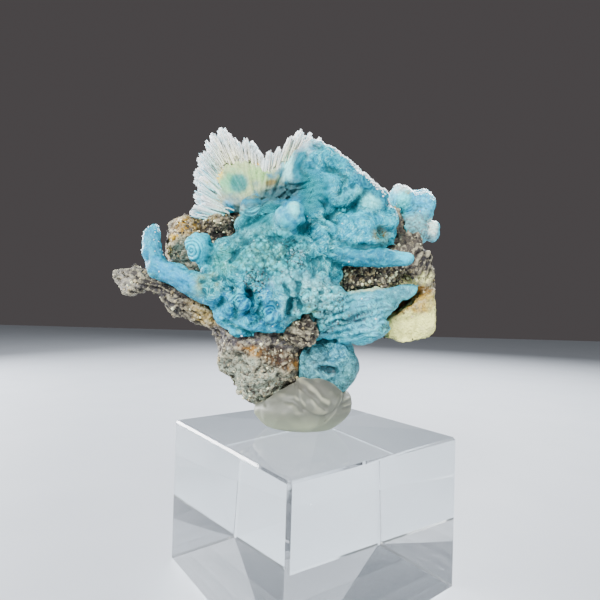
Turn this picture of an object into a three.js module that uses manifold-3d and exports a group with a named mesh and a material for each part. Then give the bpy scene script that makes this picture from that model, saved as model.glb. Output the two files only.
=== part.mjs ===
// A gibbsite specimen on its display block: blue crust on brown rock, held by a dab of putty.
// Millimetres, +Z up. The origin is the middle of the block's base. The specimen faces -Y.
import * as THREE from "three";
import { ImprovedNoise } from "three/addons/math/ImprovedNoise.js";
import { mergeVertices } from "three/addons/utils/BufferGeometryUtils.js";
import Module from "manifold-3d";

const wasm = await Module();
wasm.setup();

// Driving dimensions
const blockSide = 40;
const blockHeight = 28.4;
const blockTurn = THREE.MathUtils.degToRad(37.7);
const blockChamfer = 0.35;
const gap = 0.3; // clearance left between neighbours that touch

// Everything above the block is placed from the middle of the block's top face.
// Outlines are read from the front, as x and height.

const noise = new ImprovedNoise();

function seededRandom(seed) {
  let state = seed;
  return () => {
    state = (state * 1664525 + 1013904223) % 4294967296;
    return state / 4294967296;
  };
}

// Solids and geometries

// A closed geometry as a solid, its skin moved outwards by grow
function toSolid(geometry, grow = 0) {
  geometry.deleteAttribute("normal");
  geometry.deleteAttribute("uv");
  const merged = mergeVertices(geometry, 1e-4);
  merged.computeVertexNormals();
  const { position, normal } = merged.attributes;
  for (let i = 0; i < position.count; i++) {
    position.setXYZ(
      i,
      position.getX(i) + grow * normal.getX(i),
      position.getY(i) + grow * normal.getY(i),
      position.getZ(i) + grow * normal.getZ(i),
    );
  }
  return new wasm.Manifold(new wasm.Mesh({
    numProp: 3,
    vertProperties: new Float32Array(position.array),
    triVerts: new Uint32Array(merged.index.array),
  }));
}

function toGeometry(solid) {
  const mesh = solid.getMesh();
  const geometry = new THREE.BufferGeometry();
  geometry.setAttribute("position", new THREE.BufferAttribute(mesh.vertProperties, 3));
  geometry.setIndex(new THREE.BufferAttribute(mesh.triVerts, 1));
  geometry.computeVertexNormals();
  return geometry;
}

const join = (solids) => solids.reduce((whole, solid) => whole.add(solid));

const largestBody = (solid) => solid.decompose().reduce((a, b) => (a.volume() > b.volume() ? a : b));

// A three-way nudge that varies smoothly from place to place
function nudge(x, y, z, grain, size) {
  return new THREE.Vector3(
    size * noise.noise(x * grain, y * grain, z * grain + 31),
    size * noise.noise(x * grain + 17, y * grain, z * grain),
    size * noise.noise(x * grain, y * grain + 53, z * grain),
  );
}

// A ball of small faces, bent into shape by a function that gives each corner's new place
function bentBall(faces, grow, bend) {
  const ball = new THREE.IcosahedronGeometry(1, faces);
  const points = ball.attributes.position;
  const corner = new THREE.Vector3();
  for (let i = 0; i < points.count; i++) {
    const place = bend(corner.fromBufferAttribute(points, i));
    points.setXYZ(i, place.x, place.y, place.z);
  }
  return toSolid(ball, grow);
}

// A rounded lump with its middle and half sizes
function lump({ at, half, rough = 0.8, grain = 0.25, faces = 2 }, grow = 0) {
  const middle = new THREE.Vector3(...at);
  const size = new THREE.Vector3(...half);
  return bentBall(faces, grow, (toward) => {
    const place = toward.clone().multiply(size).add(middle);
    return place.add(nudge(place.x, place.y, place.z, grain, rough));
  });
}

// How far an outline lies from its middle in one direction
function reach(outline, middle, angle) {
  const [dx, dz] = [Math.cos(angle), Math.sin(angle)];
  let farthest = 0;
  outline.forEach(([x1, z1], i) => {
    const [x2, z2] = outline[(i + 1) % outline.length];
    const [ex, ez] = [x2 - x1, z2 - z1];
    const cross = dx * ez - dz * ex;
    const far = ((x1 - middle[0]) * ez - (z1 - middle[1]) * ex) / cross;
    const part = ((x1 - middle[0]) * dz - (z1 - middle[1]) * dx) / cross;
    if (part >= 0 && part <= 1 && far > farthest) farthest = far;
  });
  return farthest;
}

// Domes of a grape-like surface, spread in a spiral over the front of a plate
function spreadDomes({ count, size, seed }, place) {
  const random = seededRandom(seed);
  const turn = Math.PI * (3 - Math.sqrt(5));
  const domes = [];
  for (let i = 0; i < count; i++) {
    const forward = 1 - (i + 0.5) / count;
    const spread = Math.sqrt(1 - forward ** 2);
    const angle = i * turn + 0.6 * random();
    const toward = new THREE.Vector3(spread * Math.cos(angle), -forward, spread * Math.sin(angle));
    domes.push({ at: place(toward), radius: size * (0.7 + 0.7 * random()) });
  }
  return domes;
}

// How high the domes stand at a place
function domeHeight(domes, at) {
  let height = 0;
  for (const dome of domes) {
    const off = dome.at.distanceTo(at) / dome.radius;
    if (off < 1) height = Math.max(height, 0.9 * dome.radius * Math.sqrt(1 - off * off));
  }
  return height;
}

// A bulging plate with the given outline, from its front to its back
function plate(spec, grow = 0) {
  const { outline, middle, front, back, rough = 0.8, grain = 0.25, faces = 5, edge = 0.7, domes } = spec;
  const depth = (back - front) / 2;
  const place = (toward) => {
    const angle = Math.atan2(toward.z, toward.x);
    const out = reach(outline, middle, angle) * Math.hypot(toward.x, toward.z);
    const bulge = Math.sign(toward.y) * Math.abs(toward.y) ** edge;
    return new THREE.Vector3(
      middle[0] + Math.cos(angle) * out,
      front + depth + bulge * depth,
      middle[1] + Math.sin(angle) * out,
    );
  };
  const spread = domes ? spreadDomes(domes, place) : [];
  return bentBall(faces, grow, (toward) => {
    const at = place(toward);
    const shift = nudge(at.x, at.y, at.z, grain, rough).add(nudge(at.x, at.y, at.z, grain * 2.6, rough * 0.5));
    const facing = THREE.MathUtils.clamp(-2 * toward.y, 0, 1); // domes fade out towards the rim
    return at.clone().add(shift).addScaledVector(toward, facing * domeHeight(spread, at));
  });
}

// A round limb that tapers from its first radius to its last along a smooth route
function limb({ route, radii, rough = 0.5, sides = 7, steps = 4 }, grow = 0) {
  const curve = new THREE.CatmullRomCurve3(route.map((point) => new THREE.Vector3(...point)));
  const capSteps = 2;
  const profile = [];
  for (let i = 0; i <= capSteps; i++) {
    const angle = (i / capSteps) * Math.PI / 2;
    profile.push(new THREE.Vector2(Math.sin(angle), -Math.cos(angle)));
  }
  for (let i = 1; i < steps; i++) profile.push(new THREE.Vector2(1, i / steps));
  for (let i = 0; i <= capSteps; i++) {
    const angle = (i / capSteps) * Math.PI / 2;
    profile.push(new THREE.Vector2(Math.cos(angle), 1 + Math.sin(angle)));
  }
  profile[0].x = 0;
  profile[profile.length - 1].x = 0;
  const rod = new THREE.LatheGeometry(profile, sides);
  const points = rod.attributes.position;
  const corner = new THREE.Vector3();
  const across = new THREE.Vector3();
  const over = new THREE.Vector3();
  for (let i = 0; i < points.count; i++) {
    corner.fromBufferAttribute(points, i);
    const along = THREE.MathUtils.clamp(corner.y, 0, 1);
    const past = corner.y - along;
    const radius = THREE.MathUtils.lerp(radii[0], radii[1], along);
    const middle = curve.getPointAt(along);
    const tangent = curve.getTangentAt(along);
    across.set(0, 1, 0).cross(tangent).normalize();
    over.crossVectors(tangent, across);
    middle.addScaledVector(across, corner.x * radius);
    middle.addScaledVector(over, -corner.z * radius);
    middle.addScaledVector(tangent, past * radius);
    middle.add(nudge(middle.x, middle.y, middle.z, 0.3, rough));
    points.setXYZ(i, middle.x, middle.y, middle.z);
  }
  return toSolid(rod, grow);
}

// A crystal: a flat-faced prism from its foot to its pointed tip
function crystal({ foot, tip, width, sides = 6 }) {
  const length = foot.distanceTo(tip);
  const point = Math.min(width * 0.8, length * 0.3);
  const outline = [[0, 0], [width * 0.3, 0], [width * 0.5, length - point], [0, length]];
  const prism = new THREE.LatheGeometry(outline.map(([r, y]) => new THREE.Vector2(r, y)), sides);
  const lean = new THREE.Quaternion().setFromUnitVectors(
    new THREE.Vector3(0, 1, 0),
    tip.clone().sub(foot).normalize(),
  );
  prism.applyQuaternion(lean).translate(foot.x, foot.y, foot.z);
  return toSolid(prism);
}

// Matrix rock

const rockPlates = [
  { // back of the specimen
    outline: [
      [-28.5, 42], [-24, 48], [-22, 53], [-14.5, 55], [-3.5, 55.5], [6, 52], [14, 48], [21, 40.5], [24, 37.5],
      [25.5, 34], [27, 29.5], [25.5, 24.5], [19, 18.5], [7, 18.5], [-2.5, 16], [-18.5, 16.5], [-25, 20.5],
      [-30, 28], [-32, 34], [-32, 38],
    ],
    middle: [-4, 33],
    front: 1,
    back: 13.5,
    rough: 2.2,
    grain: 0.17,
    faces: 4,
  },
  { // wedge that stands in the putty
    outline: [
      [-21, 18], [-19.5, 13.5], [-17.5, 11], [-14.5, 7.5], [-11.5, 5], [-9, 4.5], [-5.5, 6.5], [-2.5, 9],
      [-0.5, 15.5], [0, 21], [-10, 24], [-21.5, 22],
    ],
    middle: [-10, 15],
    front: -5,
    back: 10,
    rough: 1.6,
    edge: 0.9,
    faces: 3,
  },
];
const rockLumps = [
  { at: [-38, -1.4, 29.4], half: [2.3, 2.2, 2.4], faces: 1 }, // knobbly end of the arm
  { at: [-35.8, -0.6, 28.6], half: [2.5, 2.6, 3] },
  { at: [-25.5, 2, 35.5], half: [5.6, 5, 6.5] }, // slope below the left pocket
  { at: [-20.5, 1.5, 39], half: [5, 3, 4], faces: 1 }, // left pocket
  { at: [18.5, 2, 33.5], half: [5.4, 4.5, 6.6] }, // dark wall at the right
  { at: [10.5, 1, 30], half: [8, 3.5, 3.5] }, // floor of the dark pocket
  { at: [-2.2, -5.6, 19.6], half: [3.4, 2.8, 2.6], faces: 1 }, // dark lump above the wedge
  { at: [-1.4, -6.4, 22.4], half: [1, 1.2, 1.8], faces: 1, rough: 0.4 }, // its spire
  { at: [-15, 11.5, 41], half: [8, 4, 7], faces: 1 }, // crags of the back
  { at: [6, 12, 44], half: [8, 3.5, 5], faces: 1 },
  { at: [9, 12.5, 29], half: [11, 3.5, 5], faces: 1 },
  { at: [-13, 11.5, 26], half: [8, 4, 6], faces: 1 },
];
const rockLimbs = [
  { route: [[-14, 1, 21], [-24, -1, 23.6], [-30, -1, 27.6], [-36, -1, 29.2]], radii: [3.8, 1.9] }, // arm
];
const creamBlock = {
  outline: [[14, 18], [18, 17], [23.3, 18.3], [24.3, 20], [24.4, 24.5], [23.8, 28.6], [20.5, 27], [14, 22]],
  front: -2,
  back: 10,
};

function slab({ outline, front, back }, grow = 0) {
  const bevel = 0.6;
  const shape = new THREE.Shape(outline.map(([x, z]) => new THREE.Vector2(x, z)));
  const block = new THREE.ExtrudeGeometry(shape, {
    depth: back - front - 2 * bevel,
    bevelThickness: bevel,
    bevelSize: bevel,
    bevelOffset: -bevel,
    bevelSegments: 1,
  });
  block.rotateX(Math.PI / 2).translate(0, back - bevel, 0);
  return toSolid(block, grow);
}

function buildRock(grow = 0) {
  return join([
    ...rockPlates.map((spec) => plate(spec, grow)),
    ...rockLumps.map((spec) => lump({ rough: 1.4, ...spec }, grow)),
    ...rockLimbs.map((spec) => limb({ rough: 1.2, ...spec }, grow)),
    slab(creamBlock, grow),
  ]);
}

// Gibbsite crust

const crustPlates = [
  { // fringe
    outline: [
      [-26.5, 41.5], [-24, 46.5], [-22.5, 50], [-21.5, 53], [-19.5, 55.5], [-16, 56], [-12.5, 54.5], [-9, 53.5],
      [-6, 55], [-4, 58], [-2, 58], [-1, 50], [-4, 44], [-12, 41], [-16, 42], [-21, 42],
    ],
    middle: [-13, 48],
    front: -1.5,
    back: 9,
    faces: 3,
  },
  { // slab at the top right
    outline: [
      [-4.5, 57.5], [-1.5, 58], [1, 57], [3, 54], [6.3, 50.9], [9.4, 48.4], [12.5, 46], [14.8, 43.8],
      [16, 41.5], [16.3, 38.5], [13.5, 35.8], [7, 34.2], [-2, 36], [-5, 43], [-5, 50.5],
    ],
    middle: [4, 46],
    front: -4,
    back: 9,
    rough: 0.8,
    faces: 4,
    domes: { count: 16, size: 3, seed: 9 },
  },
  { // grape-like middle
    outline: [
      [-20.5, 32], [-19.5, 34.5], [-16, 36.5], [-13.5, 39], [-13, 42.5], [-10, 45], [-3.5, 46], [3, 42], [7, 35],
      [3, 28.5], [5.5, 26], [4.5, 22.5], [-1, 20.5], [-5, 21], [-8.5, 19], [-15, 19], [-18, 22], [-21.5, 26],
      [-21.5, 29],
    ],
    middle: [-8, 31],
    front: -7,
    back: 6,
    rough: 0.8,
    faces: 5,
    domes: { count: 40, size: 2.9, seed: 3 },
  },
  { // pale ledge
    outline: [
      [-2.5, 20], [3, 22.5], [6.5, 26.5], [14, 28.5], [18, 29.5], [23.5, 30.5], [19.5, 27.5], [16, 24.5],
      [13.5, 22], [13.5, 19.3], [9.5, 18.8], [3.5, 18.5], [-1.5, 17.5],
    ],
    middle: [9, 22.5],
    front: -5,
    back: 4,
    faces: 3,
    domes: { count: 10, size: 2.4, seed: 5 },
  },
];
const crustLumps = [
  { at: [-22, -6, 34.8], half: [2.5, 3, 3.1], faces: 1 }, // snail-like knob
  { at: [-10.9, -7, 28.4], half: [2.6, 2.6, 2.4], faces: 1 }, // grape-like lumps of the middle
  { at: [-10, -5.6, 36], half: [4.6, 3.4, 4.2] },
  { at: [-16.5, -4.2, 31], half: [4.2, 3.6, 4.4] },
  { at: [-4.2, -6.6, 31.2], half: [3.2, 3, 3], faces: 1 },
  { at: [-18.2, -4, 25.6], half: [2.6, 2.4, 2.4], faces: 1 },
  { at: [2.4, -5.4, 26], half: [3.5, 2.9, 3.1], faces: 1 },
  { at: [-2.4, -6.4, 24.6], half: [2.8, 2.4, 2.6], faces: 1 },
  { at: [2, -5, 37.6], half: [3, 3, 3], faces: 1 },
  { at: [9, -4.6, 36.6], half: [5.4, 2.8, 2.6], faces: 1 }, // drape over the finger ledge
  { at: [8.5, -4, 40], half: [3.4, 2.8, 3], faces: 1 }, // lumps of the slab
  { at: [13.2, -2.6, 41.6], half: [2.7, 2.6, 2.6], faces: 1 },
  { at: [5.4, -3.6, 46.6], half: [3.9, 2.7, 3.5], faces: 1 },
  { at: [1.6, -2.2, 53], half: [3, 2.4, 3], faces: 1 },
  { at: [-12.8, -2.6, 43.4], half: [2.8, 2.4, 2.6], faces: 1 }, // small curl at the foot of the fringe
];
const crustLimbs = [
  { route: [[-6.4, -5, 36.4], [-5.6, -7.6, 39], [-4.8, -8.2, 41.8]], radii: [3.6, 2] }, // horn
  { route: [[1, -4, 34.4], [9, -6.4, 33.6], [16.8, -7, 33.7]], radii: [2.4, 1.5] }, // finger ledge
  { route: [[-30.2, -5, 31.1], [-31.2, -4.5, 34.6], [-31.3, -4, 38]], radii: [2.4, 1.5] }, // spur
  { route: [[-30.4, -5, 31.4], [-25, -6, 29], [-19, -6, 26.5]], radii: [2.4, 2.7] }, // tongue
  { route: [[-21.8, -5.5, 34.6], [-20.6, -5, 32.4], [-19, -4, 30.1]], radii: [1.6, 2.4] }, // stalk
];

const curls = [
  { at: [-12.6, -8.6, 25.6], radius: 2.5, thick: 1.2, from: 0.2, turn: 4.6 },
  { at: [-7.6, -8.8, 23.6], radius: 2.4, thick: 1.3, from: 2.4, turn: -4.4 },
];

// Tips of the fringe
const fringeRim = [
  [-27, 42], [-25.8, 46.5], [-26, 51], [-25.5, 54], [-24, 57.5], [-22.3, 60.5], [-19.5, 61.2], [-16.8, 58.8],
  [-14.6, 59.6], [-12.2, 57.6], [-11, 56.6], [-8.5, 57.5], [-6.5, 58.2], [-4, 61.6], [-1.9, 60.9], [1.5, 59.5],
];
const fringeRows = [
  { y: 0.8, lower: 1.5, count: 7 },
  { y: 4, lower: 0, count: 17 },
  { y: 7.2, lower: 1.2, count: 5 },
];

function buildFringe() {
  const random = seededRandom(7);
  const rim = new THREE.CatmullRomCurve3(fringeRim.map(([x, z]) => new THREE.Vector3(x, 0, z)));
  const root = new THREE.Vector3(-11, 4, 40);
  const crystals = [];
  for (const { y, lower, count } of fringeRows) {
    for (let i = 0; i < count; i++) {
      const tip = rim.getPointAt((i + 0.25 + 0.5 * random()) / count);
      tip.y = y + (random() - 0.5) * 1.6;
      const inward = root.clone().sub(tip).normalize();
      tip.addScaledVector(inward, lower + 0.9 * random());
      const foot = tip.clone().addScaledVector(inward, 5 + 2 * random());
      foot.y = THREE.MathUtils.lerp(foot.y, root.y, 0.3);
      crystals.push(crystal({ foot, tip, width: 1.9 + random(), sides: 4 + Math.round(random()) }));
    }
  }
  return crystals;
}

// A curl: a limb wound round a point, seen from the front
function curl({ at, radius, thick, from, turn }) {
  const route = [0, 0.2, 0.4, 0.6, 0.8, 1].map((part) => {
    const angle = from + turn * part;
    const out = radius * (1 - 0.35 * part);
    return [at[0] + out * Math.cos(angle), at[1] - part, at[2] + out * Math.sin(angle)];
  });
  return limb({ route, radii: [thick * 1.2, thick * 0.8], rough: 0.1, sides: 5, steps: 7 });
}

function buildCrust(neighbours) {
  const body = join([
    ...crustPlates.map((spec) => plate({ rough: 1.2, grain: 0.2, ...spec })),
    ...crustLumps.map((spec) => lump(spec)),
    ...crustLimbs.map((spec) => limb(spec)),
    ...curls.map((spec) => curl(spec)),
    ...buildFringe(),
  ]);
  return largestBody(body.subtract(neighbours));
}

// Gibbsite knob behind the slab, and lobe under the wedge

const knobLumps = [
  { at: [18.8, 8, 48], half: [3.3, 4, 3.3] },
  { at: [22.8, 8.5, 46.9], half: [3.4, 4.2, 4] },
  { at: [21, 8, 41.6], half: [4.2, 4, 3.9], faces: 1 },
  { at: [25.6, 8, 41.6], half: [1.9, 2.2, 2.5], faces: 1 },
];
const lobePlates = [
  {
    outline: [[-1.6, 17.5], [-1.4, 10.5], [1.5, 6.5], [6, 7], [7.8, 11.5], [8.2, 16.5], [5.5, 19.5], [1, 19.5]],
    middle: [3.5, 13],
    front: -1.5,
    back: 10,
    faces: 2,
    domes: { count: 8, size: 2.8, seed: 6 },
  },
];

// Putty, pressed flat on the block and pushed in by what it holds

const puttyPlates = [
  {
    outline: [
      [-12.5, 2.5], [-10.5, 5], [-6.5, 7.5], [-2.5, 10], [0.5, 10.6], [4.5, 9.6], [7.5, 7], [8.5, 4],
      [7, 0], [4, -2], [-2, -3], [-8, -2], [-11.5, 0],
    ],
    middle: [-1, 3],
    front: -7,
    back: 8,
    rough: 0.5,
    edge: 0.9,
    faces: 4,
  },
];

function buildPutty(held) {
  const dab = join(puttyPlates.map((spec) => plate(spec)));
  const under = new THREE.BoxGeometry(60, 60, 20).translate(0, 0, gap - 10);
  return largestBody(dab.subtract(toSolid(under)).subtract(held));
}

// Block

function buildBlock() {
  const flat = blockSide / 2 - blockChamfer;
  const corner = flat - blockChamfer;
  const outline = new THREE.Shape([
    [flat, -corner], [flat, corner], [corner, flat], [-corner, flat],
    [-flat, corner], [-flat, -corner], [-corner, -flat], [corner, -flat],
  ].map(([x, y]) => new THREE.Vector2(x, y)));
  return new THREE.ExtrudeGeometry(outline, {
    depth: blockHeight - 2 * blockChamfer,
    bevelThickness: blockChamfer,
    bevelSize: blockChamfer,
    bevelSegments: 1,
  }).translate(0, 0, blockChamfer);
}

// Assembly

const materials = {
  acrylic: new THREE.MeshStandardMaterial({ color: 0xb9c5cc, roughness: 0.05 }),
  putty: new THREE.MeshStandardMaterial({ color: 0xd4d6d2, roughness: 0.5 }),
  rock: new THREE.MeshStandardMaterial({ color: 0x7d736c, roughness: 0.95 }),
  crust: new THREE.MeshStandardMaterial({ color: 0x7cc4dc, roughness: 0.45 }),
  knob: new THREE.MeshStandardMaterial({ color: 0xb5dde4, roughness: 0.45 }),
  lobe: new THREE.MeshStandardMaterial({ color: 0x2f8fa6, roughness: 0.45 }),
};

function piece(name, geometry, material) {
  const mesh = new THREE.Mesh(geometry, material);
  mesh.name = name;
  return mesh;
}

const buildKnob = (grow) => join(knobLumps.map((spec) => lump(spec, grow)));
const buildLobe = (grow) => join(lobePlates.map((spec) => plate(spec, grow)));

const matrix = largestBody(buildRock());
const grownRock = buildRock(gap);
const knob = largestBody(buildKnob().subtract(grownRock));
const lobe = largestBody(buildLobe().subtract(grownRock));
const crust = buildCrust(join([grownRock, buildKnob(gap), buildLobe(gap)]));
const putty = buildPutty(grownRock.add(buildLobe(gap)));

const block = piece("acrylic_block", buildBlock(), materials.acrylic);
block.rotation.z = blockTurn;

const specimen = new THREE.Group();
specimen.position.z = blockHeight;
specimen.add(
  piece("mounting_putty", toGeometry(putty), materials.putty),
  piece("matrix_rock", toGeometry(matrix), materials.rock),
  piece("gibbsite_crust", toGeometry(crust), materials.crust),
  piece("gibbsite_knob", toGeometry(knob), materials.knob),
  piece("gibbsite_lower_lobe", toGeometry(lobe), materials.lobe),
);

const part = new THREE.Group();
part.add(block, specimen);
export default part;
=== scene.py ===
import math

import bmesh
import bpy
import numpy as np
from mathutils import Matrix, Vector, noise


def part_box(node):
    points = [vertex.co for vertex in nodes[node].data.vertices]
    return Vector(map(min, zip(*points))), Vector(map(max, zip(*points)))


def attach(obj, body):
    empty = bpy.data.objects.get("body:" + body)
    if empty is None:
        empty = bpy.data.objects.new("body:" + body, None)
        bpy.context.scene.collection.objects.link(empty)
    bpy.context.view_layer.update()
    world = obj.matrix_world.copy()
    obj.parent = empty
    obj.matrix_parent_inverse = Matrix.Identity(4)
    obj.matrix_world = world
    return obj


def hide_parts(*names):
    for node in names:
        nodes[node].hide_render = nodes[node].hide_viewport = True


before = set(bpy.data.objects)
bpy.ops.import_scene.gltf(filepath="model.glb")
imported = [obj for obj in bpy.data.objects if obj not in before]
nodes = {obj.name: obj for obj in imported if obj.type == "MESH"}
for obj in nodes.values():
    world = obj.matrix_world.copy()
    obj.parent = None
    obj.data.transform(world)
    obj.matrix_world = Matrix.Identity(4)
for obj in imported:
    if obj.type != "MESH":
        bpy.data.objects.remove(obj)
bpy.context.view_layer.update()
mm = 0.001
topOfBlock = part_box("acrylic_block")[1].z / mm  # heights on the specimen are counted from here


# Camera, at the photograph's viewing angle
cameraSet = {
    "x": -2.8, "y": -90.4, "z": 52.7,  # mm, in the row frame
    "pitch": 0.81, "roll": 1.59,  # degrees
    "lens": 27.06, "sensor": 36, "nearest": 0.005,
}


def addCamera(c):
    data = bpy.data.cameras.new("photoCamera")
    data.lens = c["lens"]
    data.sensor_width = c["sensor"]
    data.clip_start = c["nearest"]
    camera = bpy.data.objects.new("photoCamera", data)
    bpy.context.scene.collection.objects.link(camera)
    pitch = Matrix.Rotation(math.radians(90 + c["pitch"]), 4, "X")
    turn = pitch @ Matrix.Rotation(math.radians(c["roll"]), 4, "Z")
    camera.matrix_world = Matrix.Translation(Vector((c["x"], c["y"], c["z"])) * mm) @ turn
    bpy.context.scene.camera = camera


addCamera(cameraSet)
print("stage: camera")


# Colours are written as the tones that they should show on the screen
toneSet = {
    "lit": 2.0,  # how strongly the stage lights the specimen's front
    "gain": 0.35, "start": 1.33, "slope": 1.4,  # the view transform's soft shoulder
    "coolDim": 0.45, "coolPull": 0.14, "coolGreen": 0.22,  # strong blues come out light and violet otherwise
    "warmGreen": 0.5,  # strong ochres come out pink otherwise
    "darkest": 0.003, "lightest": 0.95,
}


def linear(code):
    # the reflectance that shows as this screen tone in the stage's light
    s = toneSet
    tone = [int(code[i:i + 2], 16) / 255 for i in (0, 2, 4)]
    tone = [t / 12.92 if t <= 0.04045 else ((t + 0.055) / 1.055) ** 2.4 for t in tone]
    cool = max(0, tone[2] - tone[0])
    warm = max(0, tone[0] - tone[2])
    dim = 1 - s["coolDim"] * cool
    shown = [t / min(1, max(s["gain"], s["start"] - s["slope"] * t)) * dim for t in tone]
    if cool:
        top = max(shown)
        shown = [v - s["coolPull"] * (top - v) * min(1, top) for v in shown]
        shown[1] += s["coolGreen"] * max(0, shown[2] - shown[1])
    shown[1] += s["warmGreen"] * warm * max(0, shown[0] - shown[1])
    shown[2] *= 1 - warm
    return [min(max(v / s["lit"], s["darkest"]), s["lightest"]) for v in shown] + [1.0]


# Small helpers
def newObject(name, data):
    piece = bpy.data.objects.new(name, data)
    bpy.context.scene.collection.objects.link(piece)
    return piece


def copyNode(node, name):
    piece = newObject(name, nodes[node].data.copy())
    piece.data.name = name
    piece.data.materials.clear()
    shape = bmesh.new()
    shape.from_mesh(piece.data)
    bmesh.ops.remove_doubles(shape, verts=shape.verts, dist=1e-6)
    shape.to_mesh(piece.data)
    shape.free()
    return piece


def applyModifiers(piece):
    graph = bpy.context.evaluated_depsgraph_get()
    done = bpy.data.meshes.new_from_object(piece.evaluated_get(graph))
    piece.modifiers.clear()
    old = piece.data
    piece.data = done
    done.name = piece.name
    bpy.data.meshes.remove(old)


def smoothShade(mesh):
    mesh.polygons.foreach_set("use_smooth", [True] * len(mesh.polygons))


def remesh(piece, s):
    skin = piece.modifiers.new("skin", "REMESH")
    skin.mode = "VOXEL"
    skin.voxel_size = s["voxel"] * mm
    soften = piece.modifiers.new("soften", "SMOOTH")
    soften.factor = 0.5
    soften.iterations = s["smooth"]
    applyModifiers(piece)
    smoothShade(piece.data)


def places(piece):
    # every point in mm, with its height above the block
    co = np.empty(len(piece.data.vertices) * 3, np.float32)
    piece.data.vertices.foreach_get("co", co)
    co = co.reshape(-1, 3) / mm
    co[:, 2] -= topOfBlock
    return co


def normals(piece):
    out = np.empty(len(piece.data.vertices) * 3, np.float32)
    piece.data.vertices.foreach_get("normal", out)
    return out.reshape(-1, 3)


def setPlaces(piece, co):
    co = co.copy()
    co[:, 2] += topOfBlock
    piece.data.vertices.foreach_set("co", (co * mm).astype(np.float32).ravel())
    piece.data.update()


def raised(piece, co, lift):
    # every point moved out along its normal
    return co + normals(piece) * lift[:, None]


def noiseAt(co, size, shift=0.0):
    return np.array([noise.noise(Vector(p) / size + Vector((shift, shift, shift))) for p in co])


def turbulenceAt(co, size, octaves=4):
    return np.array([noise.fractal(Vector(p) / size, 1.0, 2.0, octaves) for p in co])


def cellsAt(co, size, shift=0.0):
    # distance to the nearest cell point, in cells
    return np.array([noise.voronoi(Vector(p) / size + Vector((shift, shift, 0)))[0][0] for p in co])


def ease(low, high, value):
    t = np.clip((value - low) / (high - low), 0, 1)
    return t * t * (3 - 2 * t)


def dome(far, reach=1):
    # the height of a round dome, 1 in its middle and 0 from its reach on
    return np.sqrt(np.clip(1 - (far / reach) ** 2, 0, 1))


def blend(a, b, cover):
    return a * (1 - cover) + b * cover


def tinted(colour, code, cover):
    return blend(colour, np.array(linear(code)), cover[:, None])


def storeFloat(piece, name, values):
    layer = piece.data.attributes.new(name, "FLOAT", "POINT")
    layer.data.foreach_set("value", values.astype(np.float32))


def storeColour(piece, name, values):
    layer = piece.data.color_attributes.new(name, "FLOAT_COLOR", "POINT")
    layer.data.foreach_set("color", values.astype(np.float32).ravel())


def storeSkin(piece, tint, **painted):
    storeColour(piece, "tint", tint)
    for name, values in painted.items():
        storeFloat(piece, name, values)


def blurred(piece, co, rounds):
    # the surface without its detail: every point moves to the middle of its neighbours
    edges = np.empty(len(piece.data.edges) * 2, np.int32)
    piece.data.edges.foreach_get("vertices", edges)
    a, b = edges.reshape(-1, 2).T
    count = np.bincount(np.concatenate([a, b]), minlength=len(co))
    for _ in range(rounds):
        total = [np.bincount(a, co[b, i], len(co)) + np.bincount(b, co[a, i], len(co)) for i in range(3)]
        co = 0.5 * co + 0.5 * np.stack(total, 1) / count[:, None]
    return co


def soften(piece, co, cover, rounds):
    return co + (blurred(piece, co, rounds) - co) * cover[:, None]


def standOut(piece, rounds):
    # how far each point stands above the blurred surface, in mm: crests are positive, creases negative
    co = places(piece)
    return np.einsum("ij,ij->i", co - blurred(piece, co, rounds), normals(piece))


def farFrom(co, middle):
    # seen from the front
    return np.hypot(co[:, 0] - middle[0], co[:, 2] - middle[1])


def turned(across, up, degrees):
    c, s = math.cos(math.radians(degrees)), math.sin(math.radians(degrees))
    return c * across + s * up, c * up - s * across


def patch(co, place, half, turn=0.0, soft=0.25, ragged=0.0):
    # 1 inside an ellipse seen from the front, 0 outside, with a soft and ragged edge
    along, over = turned(co[:, 0] - place[0], co[:, 2] - place[1], turn)
    return ease(1 + soft, 1 - soft, np.hypot(along / half[0], over / half[1]) + ragged)


def strongest(co, patches):
    # of several patches: strength, middle, half sizes and turn
    return np.max([strength * patch(co, *where) for strength, *where in patches], axis=0)


def segmentFar(co, start, end):
    a, b = np.array(start), np.array(end)
    spot = co[:, [0, 2]] - a
    part = np.clip(spot @ (b - a) / np.dot(b - a, b - a), 0, 1)
    return np.linalg.norm(spot - part[:, None] * (b - a), axis=1)


def strokeFar(co, line):
    return np.min([segmentFar(co, a, b) for a, b in zip(line, line[1:])], axis=0)


def paint(co, s, ragged):
    # patches over a base: colour, middle (x, height), half sizes and turn, in mm and degrees from the front
    colour = np.tile(np.array(linear(s["base"])), (len(co), 1))
    for code, *where in s["patches"]:
        colour = tinted(colour, code, patch(co, *where, soft=0.5, ragged=s["fray"] * ragged))
    return colour


def spreadSeeds(co, sizes, d):
    # random points on the surface, no two closer than their sizes allow
    order = np.random.default_rng(d["seed"]).permutation(np.flatnonzero(sizes > 0))[:d["wanted"] * 30]
    kept, radii = [], []
    for i in order:
        if kept:
            apart = np.linalg.norm(co[kept] - co[i], axis=1)
            if (apart < d["spacing"] * (np.array(radii) + sizes[i])).any():
                continue
        kept.append(i)
        radii.append(sizes[i])
        if len(kept) >= d["wanted"]:
            break
    return co[kept], np.array(radii)


def domeField(co, middles, radii, outside=1.2):
    # height and distance from the middle of the dome that covers each point
    height = np.zeros(len(co))
    ring = np.full(len(co), outside)
    for middle, radius in zip(middles, radii):
        far = np.linalg.norm(co - middle, axis=1) / radius
        near = far < 1
        rise = radius * np.sqrt(1 - far[near] ** 2)
        best = rise > height[near]
        spots = np.flatnonzero(near)[best]
        height[spots] = rise[best]
        ring[spots] = far[spots] * radius
    return height, ring


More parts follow.
